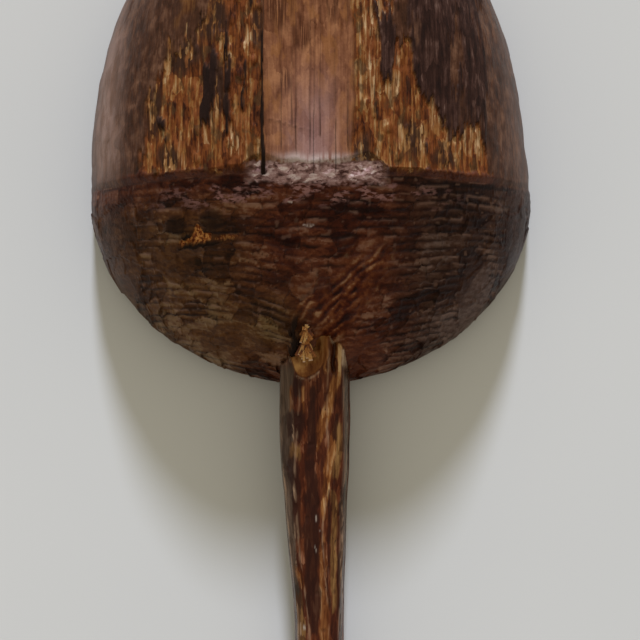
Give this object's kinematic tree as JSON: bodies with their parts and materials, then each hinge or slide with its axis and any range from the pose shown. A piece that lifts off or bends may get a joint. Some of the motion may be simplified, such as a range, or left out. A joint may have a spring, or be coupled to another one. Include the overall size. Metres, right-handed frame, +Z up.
{
  "type": "long-handled wooden kuksa dipper",
  "caption": "Deep hewn wooden dipper bowl with a tenoned, wedged and pegged straight handle, lying mouth down on its rim.",
  "frame": {"origin": "on the surface under the rim, below the middle of the whole object", "axes": "+Z up, out of the bowl's crown, with the bowl lying mouth down on its rim; the handle points along -Y; +X is to the right seen from the handle"},
  "size_m": [0.2162, 0.452, 0.102],
  "materials": {
    "bowl_wood": "oiled and worn, dark red-brown with golden weathered patches",
    "handle_wood": "glossy varnish over streaked red-brown and honey wood",
    "wedge_wood": "dull split wood",
    "peg_wood": "torn pale end grain",
    "pitch": "glossy hardened pine pitch"
  },
  "bodies": {
    "root": {"bowl": "bowl_wood", "handle": "handle_wood", "tenon_wedge": "wedge_wood", "draw_peg": "peg_wood", "pitch_seal": "pitch"}
  },
  "joints": []
}
